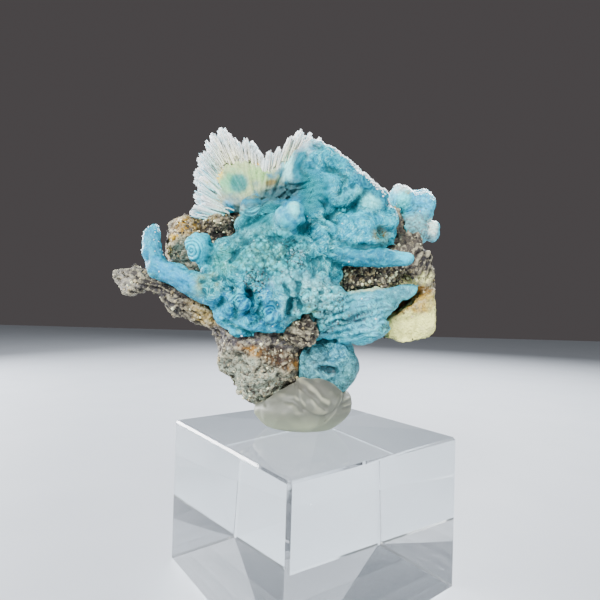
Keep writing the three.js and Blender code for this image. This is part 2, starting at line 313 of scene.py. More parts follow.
def raiseDomes(piece, co, d, may, cover, rng):
    # may: where a dome can stand, cover: how strongly each point rises
    sizes = d["low"] + (d["high"] - d["low"]) * rng.uniform(0, 1, len(co)) ** d["skew"]
    middles, radii = spreadSeeds(co, sizes * may, d)
    height, ring = domeField(co, middles, radii)
    return raised(piece, co, cover * (height * d["rise"] - d["sink"])), height, ring


# Materials
def node(tree, kind, inputs=None, **settings):
    made = tree.nodes.new(kind)
    for key, value in settings.items():
        setattr(made, key, value)
    for key, value in (inputs or {}).items():
        if isinstance(value, bpy.types.NodeSocket):
            tree.links.new(value, made.inputs[key])
        else:
            made.inputs[key].default_value = value
    return made


def calc(tree, operation, a, b=0.0):
    return node(tree, "ShaderNodeMath", {0: a, 1: b}, operation=operation).outputs[0]


def mapRange(tree, value, fromLow, fromHigh, toLow=0.0, toHigh=1.0):
    inputs = {"Value": value, "From Min": fromLow, "From Max": fromHigh, "To Min": toLow, "To Max": toHigh}
    return node(tree, "ShaderNodeMapRange", inputs).outputs["Result"]


def ramp(tree, value, low, high, most, by):
    # 0 at low and most at high, times a mask
    return calc(tree, "MULTIPLY", mapRange(tree, value, low, high, 0, most), by)


def farOff(tree, value, middle):
    return calc(tree, "ABSOLUTE", calc(tree, "SUBTRACT", value, middle))


def mixColour(tree, factor, a, b, blend="MIX"):
    return node(tree, "ShaderNodeMix", {0: factor, 6: a, 7: b}, data_type="RGBA", blend_type=blend).outputs[2]


def layered(tree, colour, layers):
    # each layer is a mask and the colour that it brings
    for mask, tint in layers:
        colour = mixColour(tree, mask, colour, tint)
    return colour


def noiseFactor(tree, place, scale, detail, distortion=0.0):
    inputs = {"Vector": place, "Scale": scale, "Detail": detail, "Distortion": distortion}
    return node(tree, "ShaderNodeTexNoise", inputs).outputs["Fac"]


def cellShades(tree, place, scale):
    # distance to the cell's middle, and three random values for each cell
    cells = node(tree, "ShaderNodeTexVoronoi", {"Vector": place, "Scale": scale})
    split = node(tree, "ShaderNodeSeparateColor", {0: cells.outputs["Color"]})
    return cells.outputs["Distance"], split.outputs


def newGroup(name, inputs):
    tree = bpy.data.node_groups.new(name, "ShaderNodeTree")
    for label, value in inputs.items():
        kind = "Float" if isinstance(value, float) else "Color" if value else "Vector"
        socket = tree.interface.new_socket(name=label, in_out="INPUT", socket_type="NodeSocket" + kind)
        if value is not None:
            socket.default_value = value
    for label, kind in {"Color": "Color", "Roughness": "Float", "Height": "Float"}.items():
        tree.interface.new_socket(name=label, in_out="OUTPUT", socket_type="NodeSocket" + kind)
    return tree, tree.nodes.new("NodeGroupInput").outputs, tree.nodes.new("NodeGroupOutput").inputs


def buildGrowthSkin():
    # waxy mineral: marbling, growth rings round each dome, painted shade in the creases and painted highlight
    # on the crests
    tree, given, out = newGroup("growthSkin", {
        "Place": None, "Tint": linear("58a4bc"), "Relief": 0.0, "Rings": 0.0, "Banding": 0.3,
        "Dark Marbling And Painted Shade": linear("1e6c80"), "Painted Shade Depth": 0.85, "Pale Marbling And Painted Highlight": linear("9cdaea"), "Painted Highlight Cover": 0.5,
        "Wisp": linear("c4ecf4"), "Marbling": 0.45, "Grit": 0.0,
    })
    place, marbling, grit, relief = given["Place"], given["Marbling"], given["Grit"], given["Relief"]
    paleMarblingAndHighlight, darkMarblingAndShade = given["Pale Marbling And Painted Highlight"], given["Dark Marbling And Painted Shade"]
    broad = noiseFactor(tree, place, 330, 5, 2.2)
    veins = noiseFactor(tree, place, 520, 4, 3)
    fine = noiseFactor(tree, place, 2600, 4)
    far, shades = cellShades(tree, place, 1500)
    # thin lines where the veins' noise crosses a level
    paleLine = ramp(tree, farOff(tree, veins, 0.5), 0.04, 0, 1, marbling)
    darkLine = ramp(tree, farOff(tree, veins, 0.42), 0.03, 0, 1.2, marbling)
    # growth bands: contours of the broad noise, and rings where the piece has a middle for them
    contour = calc(tree, "MULTIPLY", broad, calc(tree, "MULTIPLY", marbling, 40.0))
    ring = calc(tree, "SINE", calc(tree, "ADD", calc(tree, "MULTIPLY", given["Rings"], 9.0), contour))
    band = calc(tree, "MULTIPLY", ring, given["Banding"])
    colour = layered(tree, given["Tint"], [
        (ramp(tree, broad, 0.52, 0.66, 0.6, marbling), paleMarblingAndHighlight),
        (ramp(tree, broad, 0.46, 0.34, 0.7, marbling), darkMarblingAndShade),
        (paleLine, paleMarblingAndHighlight),
        (ramp(tree, farOff(tree, broad, 0.55), 0.03, 0, 1.3, marbling), given["Wisp"]),
        (darkLine, darkMarblingAndShade),
        (mapRange(tree, band, 0, 1), paleMarblingAndHighlight),
        (mapRange(tree, band, 0, -0.9), darkMarblingAndShade),
        (ramp(tree, shades[0], 0.6, 0.8, 0.7, grit), paleMarblingAndHighlight),  # pale cells, the gaps between them, and specks
        (ramp(tree, far, 0.42, 0.62, 0.8, grit), darkMarblingAndShade),
        (ramp(tree, shades[1], 0.84, 0.9, 0.8, grit), linear("3c4440")),
        # painted highlight on the crests and painted shade in the creases, from the relief
        (ramp(tree, relief, 0.1, 0.32, 1, given["Painted Highlight Cover"]), paleMarblingAndHighlight),
        (ramp(tree, relief, 0, -0.16, 1, given["Painted Shade Depth"]), darkMarblingAndShade),
    ])
    shade = mapRange(tree, fine, 0.3, 0.7, 0.8, 1.15)
    grey = node(tree, "ShaderNodeCombineColor", {0: shade, 1: shade, 2: shade}).outputs[0]
    tree.links.new(mixColour(tree, 1.0, colour, grey, "MULTIPLY"), out["Color"])
    tree.links.new(mapRange(tree, fine, 0.3, 0.75, 0.3, 0.6), out["Roughness"])
    height = calc(tree, "ADD", fine, veins)
    cellHeight = calc(tree, "MULTIPLY", calc(tree, "SUBTRACT", 0.6, far), grit)
    for part in (calc(tree, "SUBTRACT", paleLine, darkLine), calc(tree, "ADD", cellHeight, band)):
        height = calc(tree, "ADD", height, part)
    tree.links.new(height, out["Height"])
    return tree


def buildGrainSkin():
    # granular rock: each grain has its own shade, with dark pits between them, painted shade in the hollows
    # and painted highlight on the crests
    tree, given, out = newGroup("grainSkin", {
        "Place": None, "Tint": linear("766e66"), "Relief": 0.0, "Light Grains And Painted Highlight": linear("c4c0b4"),
        "Dark Grains And Painted Shade": (0.02, 0.016, 0.014, 1), "Grit": 0.5,
    })
    grit, paleGrainsAndHighlight, darkGrainsAndShade = given["Grit"], given["Light Grains And Painted Highlight"], given["Dark Grains And Painted Shade"]
    warp = node(tree, "ShaderNodeTexNoise", {"Vector": given["Place"], "Scale": 1500, "Detail": 2})
    warp = warp.outputs["Color"]
    drift = node(tree, "ShaderNodeVectorMath", {0: warp, "Scale": 0.0006}, operation="SCALE").outputs[0]
    spot = node(tree, "ShaderNodeVectorMath", {0: given["Place"], 1: drift}, operation="ADD").outputs[0]
    far, shades = cellShades(tree, spot, 1900)
    smallShades = cellShades(tree, spot, 4200)[1]
    colour = layered(tree, given["Tint"], [
        (ramp(tree, shades[0], 0.62, 0.9, 1, grit), paleGrainsAndHighlight),
        (ramp(tree, shades[1], 0.72, 0.84, 1, grit), darkGrainsAndShade),
        (ramp(tree, smallShades[0], 0.7, 0.85, 0.8, grit), darkGrainsAndShade),
        # painted shade in the hollows and painted highlight on the crests, from the relief
        (mapRange(tree, given["Relief"], 0, -0.5, 0, 0.75), darkGrainsAndShade),
        (mapRange(tree, given["Relief"], 0.1, 0.5, 0, 0.6), paleGrainsAndHighlight),
    ])
    tree.links.new(colour, out["Color"])
    tree.links.new(mapRange(tree, shades[2], 0, 1, 0.55, 0.95), out["Roughness"])
    tree.links.new(calc(tree, "ADD", mapRange(tree, far, 0, 0.7, 1, 0), shades[1]), out["Height"])
    return tree


growthSkin = buildGrowthSkin()
grainSkin = buildGrainSkin()


def attribute(tree, name, output="Fac"):
    return node(tree, "ShaderNodeAttribute", attribute_name=name).outputs[output]


def newMaterial(name, surface):
    # surface: plain values on the shader's own sockets
    material = bpy.data.materials.new(name)
    material.use_nodes = True
    tree = material.node_tree
    shader = tree.nodes["Principled BSDF"].inputs
    for key, value in surface.items():
        shader[key].default_value = value
    return material, tree, shader, node(tree, "ShaderNodeTexCoord").outputs["Object"]


def addBump(tree, shader, height, distance, strength):
    lift = node(tree, "ShaderNodeBump", {"Height": height, "Distance": distance, "Strength": strength})
    tree.links.new(lift.outputs[0], shader["Normal"])


def skinMaterial(name, group, values, surface, bump):
    # one of the shared skins over the piece's own painted tint and relief
    material, tree, shader, place = newMaterial(name, surface)
    skin = node(tree, "ShaderNodeGroup", node_tree=group)
    tree.links.new(place, skin.inputs["Place"])
    tree.links.new(attribute(tree, "tint", "Color"), skin.inputs["Tint"])
    for painted in ("Relief", "Rings", "Banding", "Marbling", "Grit"):
        if painted in skin.inputs:
            tree.links.new(attribute(tree, painted.lower()), skin.inputs[painted])
    for key, value in values.items():
        skin.inputs[key].default_value = value
    tree.links.new(skin.outputs["Color"], shader["Base Color"])
    tree.links.new(skin.outputs["Roughness"], shader["Roughness"])
    addBump(tree, shader, skin.outputs["Height"], *bump)
    return material


waxy = {"Subsurface Weight": 0.15, "Subsurface Radius": (0.4, 0.9, 1.0), "Subsurface Scale": 0.0007,
        "Specular IOR Level": 0.18}
glowing = {"Subsurface Weight": 0.6, "Subsurface Radius": (1.0, 1.0, 1.0), "Subsurface Scale": 0.0008,
           "Specular IOR Level": 0.6}
gibbsiteSkin = skinMaterial("blueGibbsite", growthSkin, {}, waxy, (0.0002, 0.7))
knobSkin = skinMaterial("paleGibbsite", growthSkin, {
    "Dark Marbling And Painted Shade": linear("6f9296"), "Pale Marbling And Painted Highlight": linear("a4dcea"), "Painted Highlight Cover": 0.5,
}, waxy, (0.00012, 0.5))
lobeSkin = skinMaterial("tealGibbsite", growthSkin, {
    "Dark Marbling And Painted Shade": linear("184858"), "Pale Marbling And Painted Highlight": linear("a4cad2"), "Painted Highlight Cover": 0.5,
}, waxy, (0.00015, 0.6))
needleSkin = skinMaterial("whiteNeedles", growthSkin, {
    "Dark Marbling And Painted Shade": linear("7d9298"), "Pale Marbling And Painted Highlight": linear("ffffff"), "Painted Highlight Cover": 0.0, "Painted Shade Depth": 0.0,
}, glowing, (0.00006, 0.3))
rockSkin = skinMaterial("grainyRock", grainSkin, {}, {"Specular IOR Level": 0.35}, (0.0003, 0.8))
grainSurface = skinMaterial("looseGrains", grainSkin, {}, {"Specular IOR Level": 0.5}, (0.0001, 0.4))


def finishPiece(piece, material, slot, *replaced):
    piece.data.materials.append(material)
    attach(piece, "root")
    if replaced:
        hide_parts(*replaced)


# Matrix rock
rockSet = {
    "voxel": 0.35, "smooth": 3,
    "crags": (5.0, 1.1), "pits": (2.4, 0.6),  # size and height, mm
    "stones": [(1.6, 0.4, 5), (0.75, 0.2, 8)],  # and which cells
    "sink": 0.55,  # so that the carving stays about the solid's own surface
    "layers": [  # middle, half sizes, turn, spacing, depth
        ((-27, 24.6), (12, 4.6), -22, 1.1, 0.45), ((-13, 17.6), (8, 2), -12, 1.2, 0.3),
        ((22, 33), (3.4, 5), 70, 1.3, 0.5),
    ],
    "plainGrit": 0.6,
    "grit": [  # how coarse: amount, middle, half sizes, turn
        (0.04, (19.6, 22.2), (6.5, 6.6)), (0.35, (20.5, 25.6), (4, 2.6)), (1, (11, 31), (8.5, 3.4)),
        (0.55, (-22.5, 39.4), (5.4, 4)), (0.75, (-10, 10), (10, 7)), (0.5, (-28, 26), (12, 4), -20),
    ],
    "fray": 0.56, "base": "766e66",
    "back": {"depth": (6, 10), "cover": 0.75, "tint": "a89e8c"},
    "patches": [
        ("504c4c", (-28, 26), (12, 5), -20),  # arm, purple grey
        ("aeaca8", (-37.6, 28), (2.6, 2.8)),  # knobbly tip
        ("4e4a50", (-27, 24.4), (6, 1), -32),
        ("baaa86", (-21, 22), (3.6, 2.6), -30),
        ("b2b8ae", (-11.5, 9), (9, 6.6)),  # wedge, off-white
        ("7c7680", (-13, 17.6), (8, 1.8), -10),
        ("b88440", (-11.3, 15.6), (2.4, 1.1), -15),
        ("7c5a3c", (-6, 13.8), (4.6, 1.8), -22),  # rust
        ("4a3022", (-5.4, 13.8), (2.2, 0.8), -15),
        ("a8743c", (-3.2, 12.6), (1.4, 1)),
        ("342c28", (-3, 20.4), (3.4, 2.8)),  # dark lump
        ("3b3326", (-3.8, 8.6), (3.2, 1.2), 52),
        ("8c7838", (-23, 40), (5, 3.6)),  # grains of the left pocket
        # near-black painted shade in the left pocket's cavity
        ("1a1612", (-20.5, 38.4), (3.6, 2), -20),
        ("b8902e", (-26.4, 39), (2.3, 3.4), 10),  # orange edge
        ("7e8e82", (-26.4, 34), (4.4, 3.6)),  # greenish slope
        ("c8a634", (-29.8, 34.9), (1.3, 1.3)),
        ("c8a634", (-28.4, 37.3), (1.3, 1.1)),
        # near-black painted shade in the left pocket's cavity
        ("0c0a08", (-18, 39.6), (2.8, 1.5)),
        ("3a363c", (22.3, 33.6), (2.8, 4.6)),  # dark wall
        ("45403c", (11, 31), (8.5, 3.4)),  # painted shade in the pocket's recess under the finger
        ("a89478", (7.4, 31.6), (1.4, 2)),
        ("dcdabc", (19.6, 22.2), (6.5, 6.8)),  # cream block
        ("c4b078", (20.4, 26), (3.4, 2.2)),
        ("b4742e", (17, 25), (5.6, 1.3), 42),
        ("a87838", (21, 28.4), (3, 0.7)),
        ("ded8c4", (20, 30), (4, 0.9), 10),
    ],
}


def carveRock(piece, s):
    co = places(piece)
    grit = np.full(len(co), s["plainGrit"])
    for amount, *where in s["grit"]:
        grit = blend(grit, amount, patch(co, *where))
    size, height = s["pits"]
    carved = -height * ease(0.4, 0.12, cellsAt(co, size))
    for size, height, shift in s["stones"]:
        carved = carved + height * dome(cellsAt(co, size, shift), 0.8)
    size, height = s["crags"]
    lift = height * turbulenceAt(co, size) - s["sink"] + carved * np.minimum(1.5 * grit, 1)
    for place, half, turn, spacing, depth in s["layers"]:
        across = turned(co[:, 0], co[:, 2], turn)[1] + 0.6 * noiseAt(co, 3.4, 2)
        ridge = np.abs(np.sin(math.pi * across / spacing))
        lift = lift + depth * (ridge - 0.6) * patch(co, place, half, turn)
    co = raised(piece, co, lift)
    setPlaces(piece, co)
    return co, grit


def sculptRock(s):
    piece = copyNode("matrix_rock", "matrixRock")
    remesh(piece, s)
    co, grit = carveRock(piece, s)
    tint = paint(co, s, noiseAt(co, 1.8, 3) + 0.6 * noiseAt(co, 0.7, 5))
    mottled = ease(-0.1, 0.35, noiseAt(co, 6, 4))
    behind = tinted(np.array(linear(s["base"])), s["back"]["tint"], mottled)
    cover = s["back"]["cover"] * ease(*s["back"]["depth"], co[:, 1])
    storeSkin(piece, blend(tint, behind, cover[:, None]), relief=1.6 * standOut(piece, 12), grit=grit)
    finishPiece(piece, rockSkin, "rock", "matrix_rock")
    return piece


rock = sculptRock(rockSet)
print("stage: rock", len(rock.data.polygons))


# Gibbsite crust
crustSet = {
    "voxel": 0.28, "smooth": 2,
    "front": (6, 2),  # depths between which the front's detail fades in
    "fringe": {"height": (41, 45), "side": (-1.2, -3.2), "root": (-11, 40), "drop": 0.07},
    "stretches": {  # middle, half sizes, turn and softness
        "waves": ((-6.4, 44.4), (8, 4.2), 20, 0.4), "ledge": ((10, 22.5), (8, 5), 15, 0.4),
        "slab": ((6, 45), (10, 10), 0, 0.3), "streak": ((9.6, 48), (6, 1.9), -46),
    },
    "limbs": [  # no domes here, but fibres: middle, half sizes, turn, and the fibres' own turn
        ((-30.9, 35), (2.8, 4.4), 0, 90), ((-26, 29), (6, 2.2), -28, -28), ((10.8, 33.8), (8.2, 2.2), 0, 0),
        ((-5, 41), (2.6, 3.4), 0, 80), ((-22, 34.9), (2.8, 3.4), 0, 0),
    ],
    "pearly": [  # strength, middle, half sizes
        (1, (1, 24.2), (5.6, 4.8)), (0.7, (-4.4, 28.6), (3, 2)), (1, (-10.8, 28.6), (2, 2)),
        (0.7, (-3.8, 33), (2, 2)),
    ],
    "beady": [(0.8, (-8, 33), (7, 5), 8)], "gritty": [(0.75, (-8, 33.4), (7, 4.4), 8)],
    "folds": (5, 0.5),  # size and height, mm
    # domes: radii and how they lean to the small, spacing, how many, and how far they rise from how deep
    "grapes": {
        "low": 0.9, "high": 3, "skew": 1.8, "spacing": 0.62, "wanted": 300, "seed": 4,
        "rise": 0.3, "sink": 0.25,
    },
    "spherules": {
        "low": 0.5, "high": 1.3, "skew": 1, "spacing": 0.85, "wanted": 200, "seed": 21,
        "rise": 0.4, "sink": 0.15,
    },
    "bumps": [  # the horn first: middle, radius, height
        ((-5.9, 38.8), 3.4, 0.8), ((-5, 40.3), 2.6, 0.8), ((-4.2, 41.6), 1.5, 0.8), ((2.2, 39), 1.6, 0.4),
    ],
    "curls": [  # rolled growths, banded round their middle: middle, radius, height
        ((-13.5, 25), 2.1, 0.7), ((-8.3, 23.1), 2.2, 0.7), ((-12.7, 42.9), 2.6, 0.5), ((-22.9, 34), 2.9, 0.0),
        ((-1.9, 26.3), 1.3, 0.3), ((4.3, 25.7), 1.4, 0.3),
    ],
    "curlTurns": 9, "curlWind": 0.09, "curlRise": 0.06,
    "beads": [(1.25, 0.24, 0), (0.7, 0.08, 9)],  # size and height, mm, and which cells
    # layers: lean, sway (amount, size and shift of a noise), how close, how sharp and how high
    "bands": {"lean": 0.28, "sway": [(1.54, 5.5, 2), (0.63, 2.2, 4)], "pace": 2.6, "sharp": 1.5, "rise": 0.5},
    "layers": {"lean": 0.34, "sway": [(0.8, 3, 0)], "pace": 2.4, "sharp": 1, "rise": 0.35},
    "fibres": {"spread": [(1, 16, 0.8, 0.08), (0.5, 34, 1.6, 0.15)], "rise": 0.55, "from": (3, 9)},
    "knots": [(0.5, 2.6, 12), (0.25, 1.1, 14)],
    # carved creases, with a dark teal tint painted in them as shade
    "creases": {"width": 0.65, "depth": 0.45, "tint": "1c6070", "strokes": [  # x and height
        [(-17.7, 37.1), (-14.4, 38.7), (-10.4, 41.1), (-7.4, 42.8)],
        [(-3.2, 38.3), (-1, 40.2), (2.4, 41.8), (6.5, 43.6), (9, 46.1)],
        [(-20.9, 28.4), (-17.5, 29), (-15, 28.2), (-14.4, 25.2), (-14.7, 21.8)],
        [(-5.7, 27.7), (-4.3, 25.8), (-5, 23.2)],
        [(-1.1, 32.7), (1.1, 33.5), (3.6, 32.1), (5.5, 31.4)],
        [(6.7, 35.9), (11, 35.8), (14.7, 36.7)],
        [(-11.8, 26.8), (-9.9, 24.8), (-9.8, 22), (-12, 20.4)],
        [(0.9, 40.3), (2.9, 36.9), (2.6, 34.7)],
        [(-15.7, 32.3), (-13.2, 35.7), (-8.7, 36.6), (-3.1, 36)],
        [(-3.5, 50.9), (-1.2, 47.7), (-1.4, 44.3)],
        [(2.1, 51), (5, 48.7), (4.1, 46)],
        [(-16.7, 21), (-12, 18.9), (-5.4, 18.3)],
        [(-2.9, 28.3), (-3.5, 25.5), (-1.8, 22.2), (-2.6, 19.9)],
    ]},
    "fray": 0.42, "base": "4098b4", "limbTint": "98deea",
    "spot": {"tint": "48a4a8", "middle": (-15.6, 48.4), "radius": 1.9},  # in the fringe's root
    "patches": [
        ("4c7c88", (-5, 45), (9.5, 4), 20),  # wavy bands
        ("2898b8", (5, 46), (9, 8)),
        ("8ccce0", (1.6, 48.6), (1.6, 3), 20),
        ("a4d4e0", (5.6, 45), (3, 1.1), 30),
        ("9cd4e2", (8, 41.6), (1.4, 2), -20),  # slab
        ("30a8c4", (-0.6, 52.2), (1.8, 6), 8),
        ("90dcec", (3.4, 53.6), (2.4, 1.6), -35),
        ("1094b0", (7.6, 50), (3.6, 1.5), -42),
        ("0484a4", (11.4, 46), (4, 1.7), -50),
        ("3a8ea0", (4.6, 43), (5, 1.8), 32),
        ("b8dcdc", (9.4, 44.6), (2.6, 1.3), -30),
        ("68b8cc", (9, 39), (7.5, 3.5)),
        ("d4ecf0", (2.4, 57.6), (3, 0.8), -30),
        ("a89858", (12.2, 37.9), (1.9, 1.6)),
        ("30240f", (12.2, 37.9), (1, 0.9)),
        ("4298a8", (-17.5, 33), (5, 5)),  # grape-like middle
        ("64aa9e", (-17, 32.2), (2.6, 2.6)),
        ("74acb6", (-12.6, 38.2), (5, 2.4), 20),
        ("48a8c4", (-5, 41), (2.6, 3.6)),  # horn
        # painted highlight on the horn's right side
        ("c0eeee", (-4.2, 41.6), (0.9, 1.5)),
        ("8ab8b0", (-8.4, 33.8), (6.2, 4), 8),
        ("4c5456", (-10.8, 28.6), (2, 2)),
        ("62625a", (-3.8, 33.2), (1.9, 2.2)),
        ("b8d0d4", (-4, 28.4), (4.4, 2.2)),
        ("2a7488", (2, 32.4), (4, 2.4)),  # painted shade in the hollow left of the finger
        ("1090c4", (-11, 23.6), (6.4, 4.4)),  # azure swirl
        ("80cae8", (-11.5, 19.6), (6, 1.2), -8),
        ("1a84b4", (-10.6, 24.2), (0.9, 2.6), 5),
        ("bcc4a4", (-20, 27.4), (2.2, 2.2)),
        ("84bcd4", (-19, 23.6), (2.6, 2.6), -45),
        ("c8dcdc", (0.8, 24.4), (5.6, 4.4)),  # pale spherules
        ("b8c49c", (-0.8, 23.4), (1.2, 1.2)),
        ("84828c", (0.4, 19.8), (4, 1.4), 20),
        ("a8c8d4", (11.5, 23.4), (8.5, 5.2), 15),  # ledge
        ("88889a", (7, 22.4), (4.5, 1.2), 18),
        ("9ab8c2", (16, 26.4), (5, 2.4), 15),
        ("dcd8c6", (13, 29), (6.5, 0.7), 14),
        ("70766c", (13.2, 20.4), (1.3, 1)),
        ("1c90b2", (10.8, 33.8), (8, 2.2)),  # finger
        ("74d0e4", (16.4, 34.4), (1.6, 1.6)),
        ("30a4c4", (-30.9, 35), (2.8, 4.2)),  # spur
        ("44b4d2", (-26.4, 29.4), (5, 1.8), -28),
        ("1c7088", (-19.6, 26.9), (1.6, 1.8)),
        ("84ccd8", (-22.6, 34.4), (2.9, 3.6)),  # snail-like knob
        ("f4f8f8", (-14.6, 56.6), (12.4, 4.6)),  # fringe, white at the rim
        ("eef6f4", (-22.5, 51), (3.6, 7)),
        ("c0c8b0", (-15.6, 50), (6.8, 4.6)),
        ("d8c890", (-20.4, 50.4), (1.4, 1.8)),
        ("a4c8b4", (-17, 48.6), (2.6, 2.2)),
        ("b4c8a4", (-11.6, 50.4), (1.7, 1.7)),
        ("9c9060", (-9.2, 48.8), (1.1, 0.6), 20),
        ("d8a85c", (-12, 53), (0.9, 0.5)),
        ("b4bab0", (-19, 44), (4, 2.4)),
        ("a0d4e6", (-25, 44), (2.8, 3.4), -20),
        ("86bcd0", (-17.5, 43.2), (1.2, 2)),
        ("44b0c4", (2.6, 53), (3.4, 2.8), -20),  # beside the fringe
        ("c4dede", (-5.8, 52.6), (1.3, 4), 8),
        ("0c9cae", (-3.4, 50.4), (1.7, 5), 4),
        ("4a7c88", (-7, 46.8), (5, 1.5), 12),
    ],
}


def less(area, **losses):
    # 1 away from the named stretches, and less by the given share inside each
    return np.prod([1 - share * area[name] for name, share in losses.items()], axis=0)


def layStretches(piece, s):
    # masks of the crust's stretches; the fringe's body is drawn in, so that its needles stand proud of it
    co = places(piece)
    f = s["fringe"]
    area = {"fringe": ease(*f["height"], co[:, 2]) * ease(*f["side"], co[:, 0])}
    co = soften(piece, co, less(area, fringe=1), 8)
    for axis, root in zip((0, 2), f["root"]):
        co[:, axis] -= f["drop"] * area["fringe"] * (co[:, axis] - root)
    setPlaces(piece, co)
    area["limbs"] = np.max([patch(co, *where) for *where, _ in s["limbs"]], axis=0)
    for name in ("waves", "ledge", "slab"):
        area[name] = patch(co, *s["stretches"][name])
    area["waves"] *= less(area, limbs=1)
    area["plain"] = less(area, fringe=1, limbs=1)
    area["front"] = ease(*s["front"], co[:, 1])
    return co, area


def raiseForms(piece, co, s, area):
    # broad folds, grape-like domes, spherules in the pale stretch, the horn, then the rolled growths
    size, height = s["folds"]
    folds = 1 - np.abs(noiseAt(co, size, 6) + 0.35 * noiseAt(co, size / 2.4, 2)) * 2.4
    co = raised(piece, co, area["plain"] * less(area, waves=1) * (folds - 0.6) * height)
    co = soften(piece, co, less(area, fringe=1), 3)
    setPlaces(piece, co)
    rng = np.random.default_rng(s["grapes"]["seed"])
    may = area["plain"] * less(area, waves=0.6, slab=0.4) > 0.5
    cover = area["plain"] * less(area, waves=0.8, ledge=0.5, slab=0.35)
    co, height, rings = raiseDomes(piece, co, s["grapes"], may, cover, rng)
    co = soften(piece, co, less(area, fringe=1), 1)
    setPlaces(piece, co)
    area["pearly"] = strongest(co, s["pearly"]) * area["front"]
    co, height, ring = raiseDomes(piece, co, s["spherules"], area["pearly"] > 0.5, area["pearly"], rng)
    rings = np.where(height > 0, ring, rings)
    for middle, radius, height in s["bumps"]:
        co = raised(piece, co, height * dome(farFrom(co, middle) / radius) * area["front"])
    area["curled"] = np.zeros(len(co))
    for middle, radius, height in s["curls"]:
        far = farFrom(co, middle)
        inside = ease(radius, 0.8 * radius, far) * area["front"]
        spiral = far + s["curlWind"] * np.arctan2(co[:, 2] - middle[1], co[:, 0] - middle[0])
        roll = s["curlRise"] * np.cos(spiral * s["curlTurns"])
        co = raised(piece, co, inside * (height * dome(far / radius) + roll))
        rings = blend(rings, spiral, inside)
        area["curled"] = np.maximum(area["curled"], inside)
    setPlaces(piece, co)
    return co, rings


def strata(co, b):
    # where each point lies across the layers, and the ridges along them
    sway = sum(amount * noiseAt(co, size, shift) for amount, size, shift in b["sway"])
    across = co[:, 2] - b["lean"] * co[:, 0] + sway
    return across, b["rise"] * (1 - np.abs(np.sin(across * b["pace"]))) ** b["sharp"]


def carveDetail(piece, co, s, area):
    # beads in the granular stretches, bands and layers, fibres along the limbs and out to the fringe, creases
    beady = np.maximum(strongest(co, s["beady"]), 0.25 * area["plain"]) * area["plain"]
    small = sum(height * dome(cellsAt(co, size, shift), 0.72) for size, height, shift in s["beads"])
    area["bandPlace"], bands = strata(co, s["bands"])
    area["layerPlace"], layers = strata(co, s["layers"])
    streaks = np.zeros(len(co))
    for *where, turn in s["limbs"]:
        along, over = turned(co[:, 0], co[:, 2], turn)
        thread = noiseAt(np.stack([along * 0.25, co[:, 1] * 1.5, over * 1.9], 1), 1)
        streaks = np.where(patch(co, *where) > 0.3, thread, streaks)
    f = s["fibres"]
    root = s["fringe"]["root"]
    angle = np.arctan2(co[:, 2] - root[1], co[:, 0] - root[0])
    radius = farFrom(co, root)
    rays = sum(amount * noiseAt(np.stack([angle * turns, co[:, 1] * deep, radius * out], 1), 1)
               for amount, turns, deep, out in f["spread"])
    knots = sum(amount * noiseAt(co, size, shift) for amount, size, shift in s["knots"])
    groove = s["creases"]
    far = np.min([strokeFar(co, line) for line in groove["strokes"]], axis=0) + 0.25 * noiseAt(co, 1.2, 8)
    area["cut"] = np.exp(-(far / groove["width"]) ** 2) * area["front"]
    area["streaks"] = streaks * area["limbs"]
    lift = small * beady * less(area, waves=1) + bands * area["waves"] * less(area, curled=1)
    lift = lift + layers * area["ledge"] + 0.12 * area["streaks"] + knots * area["limbs"]
    lift = lift + f["rise"] * rays * area["fringe"] * ease(*f["from"], radius) - groove["depth"] * area["cut"]
    co = raised(piece, co, lift)
    setPlaces(piece, co)
    return co


def paintCrust(piece, co, rings, s, area):
    tint = paint(co, s, noiseAt(co, 1.6, 3) + 0.6 * noiseAt(co, 0.7, 5))
    # painted shade in the carved creases
    tint = tinted(tint, s["creases"]["tint"], 0.85 * area["cut"])
    tint = tinted(tint, s["limbTint"], 0.25 * np.clip(area["streaks"], 0, 1))
    spot = s["spot"]
    area["spot"] = 0.85 * ease(1.3, 0.75, farFrom(co, spot["middle"]) / spot["radius"]) * area["front"]
    tint = tinted(tint, spot["tint"], area["spot"])
    area["loose"] = area["waves"] * less(area, curled=1)
    area["flat"] = area["ledge"] * less(area, curled=1, pearly=1)
    area["streak"] = patch(co, *s["stretches"]["streak"])
    # the painted bands follow the carved ones
    rings = blend(rings, area["bandPlace"] * 0.578 + 0.175, area["loose"])
    rings = blend(rings, area["layerPlace"] * 0.6, area["flat"])
    strengths = {"loose": 1.5, "flat": 0.25, "curled": 0.35, "pearly": 0.2}
    banding = 0.18 + sum(amount * area[name] for name, amount in strengths.items())
    banding = banding * less(area, fringe=1) * (1 - 0.6 * area["limbs"] * less(area, curled=1))
    grit = np.max([strongest(co, s["gritty"]), 0.6 * area["pearly"], 0.08 * area["plain"]], axis=0)
    relief = standOut(piece, 14) * less(area, fringe=0.7, curled=0.7, flat=0.4, streak=0.7, loose=0.6)
    marbling = 0.5 * less(area, limbs=0.7, streak=0.8, loose=0.65, curled=0.6, fringe=1, spot=0.9)
    storeSkin(piece, tint, relief=relief, rings=rings * less(area, fringe=1), banding=banding,
              grit=grit * area["front"], marbling=marbling)


def sculptCrust(s):
    piece = copyNode("gibbsite_crust", "gibbsiteCrust")
    remesh(piece, s)
    co, area = layStretches(piece, s)
    co, rings = raiseForms(piece, co, s, area)
    co = carveDetail(piece, co, s, area)
    paintCrust(piece, co, rings, s, area)
    finishPiece(piece, gibbsiteSkin, "gibbsite", "gibbsite_crust")
    return piece


crust = sculptCrust(crustSet)
print("stage: crust", len(crust.data.polygons))


